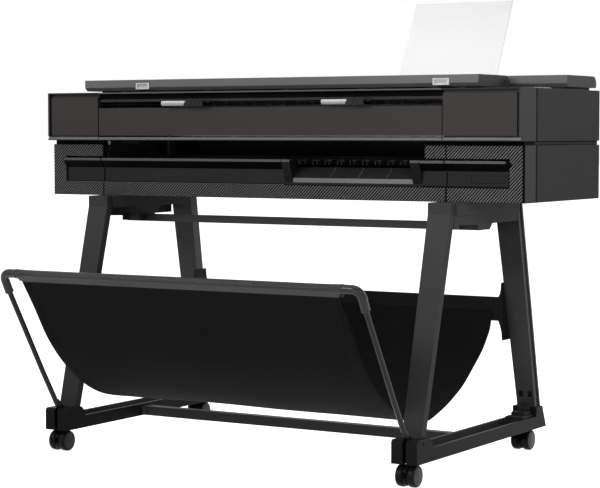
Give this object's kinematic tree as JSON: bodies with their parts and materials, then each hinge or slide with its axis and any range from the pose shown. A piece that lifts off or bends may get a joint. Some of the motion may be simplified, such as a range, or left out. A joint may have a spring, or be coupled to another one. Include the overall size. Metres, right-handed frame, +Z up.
{
  "type": "large format plotter",
  "caption": "Wide printer body with a top scanner slab, hinged covers and a paper exit, on a wheeled stand with a sloping cloth catch basket.",
  "frame": {"origin": "centre of the bounding box on the floor", "axes": "+X to the user's right, +Y to the back, +Z up"},
  "size_m": [1.317, 0.8929, 1.099],
  "materials": {
    "cover_grey": "satin dark grey moulded plastic",
    "panel_brown": "satin brown-grey moulded plastic",
    "dark_plastic": "dark plastic",
    "silver": "bare metal",
    "latch_plastic": "light grey plastic",
    "frame_paint": "dark powder-coated extrusion",
    "chassis_steel": "folded sheet steel",
    "tube_steel": "dark painted tube",
    "roller_rubber": "dark rubber",
    "tread": "dark nylon wheel",
    "cloth": "black woven cloth",
    "paper": "pale sheet",
    "glass": "scanner glass",
    "screen": "touch screen"
  },
  "bodies": {
    "printer": {"basket_cloth": "cloth", "basket_rear_bar": "frame_paint", "belt_drive": "silver", "carriage_rail": "silver", "chassis": "chassis_steel", "cross_beams": "frame_paint", "drive_belt": "dark_plastic", "end_cap_left": "cover_grey", "end_cap_right": "cover_grey", "feet": "frame_paint", "front_ledge": "cover_grey", "front_legs": "frame_paint", "ink_cartridges": "dark_plastic", "lower_band": "cover_grey", "lower_cover_left": "cover_grey", "lower_cover_right": "cover_grey", "output_lip": "cover_grey", "output_ramp": "dark_plastic", "pivot_pins": "silver", "platen": "dark_plastic", "power_inlet": "dark_plastic", "rear_legs": "frame_paint", "rear_panel": "cover_grey", "recess_panel": "cover_grey", "scanner_glass": "glass", "scanner_guide": "dark_plastic", "scanner_sensor": "dark_plastic", "service_station": "dark_plastic", "side_panel_left": "cover_grey", "side_panel_right": "cover_grey", "top_brackets": "frame_paint", "top_deck": "cover_grey"},
    "scanner_lid": {"scanner_lid": "cover_grey"},
    "lid_latches": {"lid_latches": "latch_plastic"},
    "roll_cover": {"roll_cover": "cover_grey"},
    "sheet_support": {"sheet_support": "paper"},
    "touch_screen": {"touch_screen": "screen"},
    "door_left": {"door_left": "panel_brown"},
    "door_right": {"door_right": "panel_brown"},
    "centre_front_panel": {"centre_front_panel": "panel_brown"},
    "deflector_left": {"deflector_left": "silver"},
    "deflector_right": {"deflector_right": "silver"},
    "star_wheels": {"star_wheels": "dark_plastic"},
    "feed_roller": {"feed_roller": "roller_rubber"},
    "scanner_feed_roller": {"scanner_feed_roller": "roller_rubber"},
    "roll": {"roll_spindle": "silver", "paper_roll": "paper"},
    "carriage": {"carriage": "dark_plastic"},
    "power_switch": {"power_switch": "dark_plastic"},
    "basket_frame": {"basket_tube": "tube_steel", "basket_elbows": "dark_plastic", "basket_arms": "tube_steel"},
    "castor_front_left": {"castor_hood_front_left": "dark_plastic"},
    "wheel_front_left": {"castor_wheel_front_left": "tread"},
    "castor_front_right": {"castor_hood_front_right": "dark_plastic"},
    "wheel_front_right": {"castor_wheel_front_right": "tread"},
    "castor_rear_left": {"castor_hood_rear_left": "dark_plastic"},
    "wheel_rear_left": {"castor_wheel_rear_left": "tread"},
    "castor_rear_right": {"castor_hood_rear_right": "dark_plastic"},
    "wheel_rear_right": {"castor_wheel_rear_right": "tread"}
  },
  "joints": [
    {"name": "lid_hinge", "type": "hinge", "parent": "printer", "child": "scanner_lid", "pos_m": [0, 0.207, 0.889], "axis": [-1, 0, 0], "range_deg": [0, 80]},
    {"name": "latch_lift", "type": "hinge", "parent": "scanner_lid", "child": "lid_latches", "pos_m": [0, 0.0622, 0.8994], "axis": [-1, 0, 0], "range_deg": [0, 20], "stiffness_Nm_per_rad": 0.05},
    {"name": "roll_cover_hinge", "type": "hinge", "parent": "printer", "child": "roll_cover", "pos_m": [0, 0.398, 0.881], "axis": [-1, 0, 0], "range_deg": [0, 75]},
    {"name": "sheet_support_fold", "type": "hinge", "parent": "roll_cover", "child": "sheet_support", "pos_m": [0.278, 0.36, 0.91], "axis": [-1, 0, 0], "range_deg": [-114, 0]},
    {"name": "screen_tilt", "type": "hinge", "parent": "printer", "child": "touch_screen", "pos_m": [0.584, 0.06, 0.876], "axis": [1, 0, 0], "range_deg": [0, 60]},
    {"name": "door_left_hinge", "type": "hinge", "parent": "printer", "child": "door_left", "pos_m": [-0.575, -0.03, 0.7655], "axis": [1, 0, 0], "range_deg": [0, 85]},
    {"name": "door_right_hinge", "type": "hinge", "parent": "printer", "child": "door_right", "pos_m": [0.557, -0.03, 0.7655], "axis": [1, 0, 0], "range_deg": [0, 85]},
    {"name": "front_panel_hinge", "type": "hinge", "parent": "printer", "child": "centre_front_panel", "pos_m": [0, -0.03, 0.7655], "axis": [1, 0, 0], "range_deg": [0, 85]},
    {"name": "deflector_left_lift", "type": "hinge", "parent": "printer", "child": "deflector_left", "pos_m": [-0.23, -0.0275, 0.8476], "axis": [-1, 0, 0], "range_deg": [0, 40]},
    {"name": "deflector_right_lift", "type": "hinge", "parent": "printer", "child": "deflector_right", "pos_m": [0.22, -0.0275, 0.8476], "axis": [-1, 0, 0], "range_deg": [0, 40]},
    {"name": "star_wheel_spin", "type": "hinge", "parent": "printer", "child": "star_wheels", "pos_m": [0.2, 0.038, 0.7], "axis": [1, 0, 0], "continuous": true},
    {"name": "feed_roller_spin", "type": "hinge", "parent": "printer", "child": "feed_roller", "pos_m": [0, 0.193, 0.705], "axis": [1, 0, 0], "continuous": true},
    {"name": "scanner_roller_spin", "type": "hinge", "parent": "printer", "child": "scanner_feed_roller", "pos_m": [0, -0.016, 0.8432], "axis": [1, 0, 0], "continuous": true},
    {"name": "roll_spin", "type": "hinge", "parent": "printer", "child": "roll", "pos_m": [0, 0.313, 0.814], "axis": [1, 0, 0], "continuous": true},
    {"name": "carriage_slide", "type": "slide", "parent": "printer", "child": "carriage", "axis": [1, 0, 0], "range_m": [-1.08, 0]},
    {"name": "power_rocker", "type": "hinge", "parent": "printer", "child": "power_switch", "pos_m": [-0.495, 0.4115, 0.67], "axis": [1, 0, 0], "range_deg": [0, 8]},
    {"name": "basket_fold", "type": "hinge", "parent": "printer", "child": "basket_frame", "pos_m": [0, -0.207, 0.096], "axis": [-1, 0, 0], "range_deg": [0, 40]},
    {"name": "castor_front_left_swivel", "type": "hinge", "parent": "printer", "child": "castor_front_left", "pos_m": [-0.479, -0.197, 0.06], "axis": [0, 0, 1], "continuous": true},
    {"name": "wheel_front_left_spin", "type": "hinge", "parent": "castor_front_left", "child": "wheel_front_left", "pos_m": [-0.479, -0.212, 0.0248], "axis": [1, 0, 0], "continuous": true},
    {"name": "castor_front_right_swivel", "type": "hinge", "parent": "printer", "child": "castor_front_right", "pos_m": [0.479, -0.197, 0.06], "axis": [0, 0, 1], "continuous": true},
    {"name": "wheel_front_right_spin", "type": "hinge", "parent": "castor_front_right", "child": "wheel_front_right", "pos_m": [0.479, -0.212, 0.0248], "axis": [1, 0, 0], "continuous": true},
    {"name": "castor_rear_left_swivel", "type": "hinge", "parent": "printer", "child": "castor_rear_left", "pos_m": [-0.479, 0.397, 0.06], "axis": [0, 0, 1], "continuous": true},
    {"name": "wheel_rear_left_spin", "type": "hinge", "parent": "castor_rear_left", "child": "wheel_rear_left", "pos_m": [-0.479, 0.382, 0.0248], "axis": [1, 0, 0], "continuous": true},
    {"name": "castor_rear_right_swivel", "type": "hinge", "parent": "printer", "child": "castor_rear_right", "pos_m": [0.479, 0.397, 0.06], "axis": [0, 0, 1], "continuous": true},
    {"name": "wheel_rear_right_spin", "type": "hinge", "parent": "castor_rear_right", "child": "wheel_rear_right", "pos_m": [0.479, 0.382, 0.0248], "axis": [1, 0, 0], "continuous": true}
  ]
}
